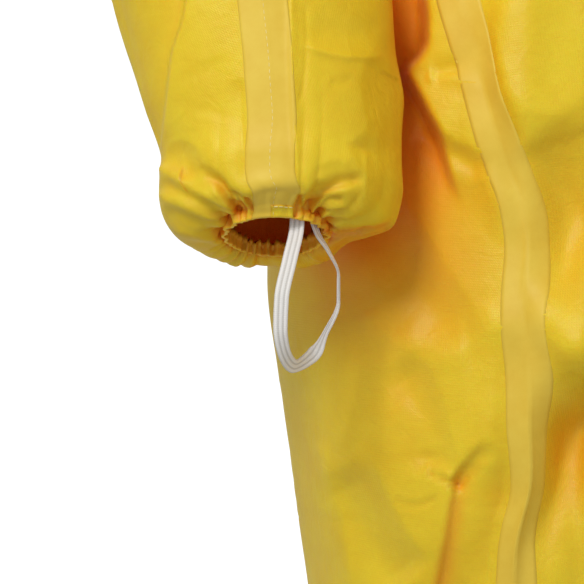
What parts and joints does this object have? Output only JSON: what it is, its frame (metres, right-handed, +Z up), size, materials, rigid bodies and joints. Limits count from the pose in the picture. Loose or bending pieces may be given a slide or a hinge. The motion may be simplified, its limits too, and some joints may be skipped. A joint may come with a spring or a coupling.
{
  "type": "protective coverall",
  "caption": "Hooded protective coverall of yellow coated fabric in its worn form, with taped seams, elastic cuffs and thumb loops.",
  "frame": {"origin": "between the shoulders at the base of the neck, where the wearer carries the garment", "axes": "+Z up along the wearer's body, -Y the way the wearer faces, +X towards the wearer's left"},
  "size_m": [0.6876, 0.3152, 1.71],
  "materials": {
    "coated_fabric": "laminated, fine embossed grid, slight sheen",
    "seam_tape": "translucent pale film, heat sealed",
    "elastic_band": "flat ribbed elastic",
    "zip_tape": "woven tape with a closed coil"
  },
  "bodies": {
    "root": {"front_right": "coated_fabric", "front_left": "coated_fabric", "back_right": "coated_fabric", "back_left": "coated_fabric", "sleeve_right": "coated_fabric", "sleeve_left": "coated_fabric", "hood_right": "coated_fabric", "hood_left": "coated_fabric", "front_flap": "coated_fabric", "sleeve_tape_right": "seam_tape", "sleeve_tape_left": "seam_tape", "side_tape_right": "seam_tape", "side_tape_left": "seam_tape", "inseam_tape_right": "seam_tape", "inseam_tape_left": "seam_tape", "back_tape": "seam_tape", "thumb_loop_right": "elastic_band", "thumb_loop_left": "elastic_band", "zip": "zip_tape"}
  },
  "joints": []
}
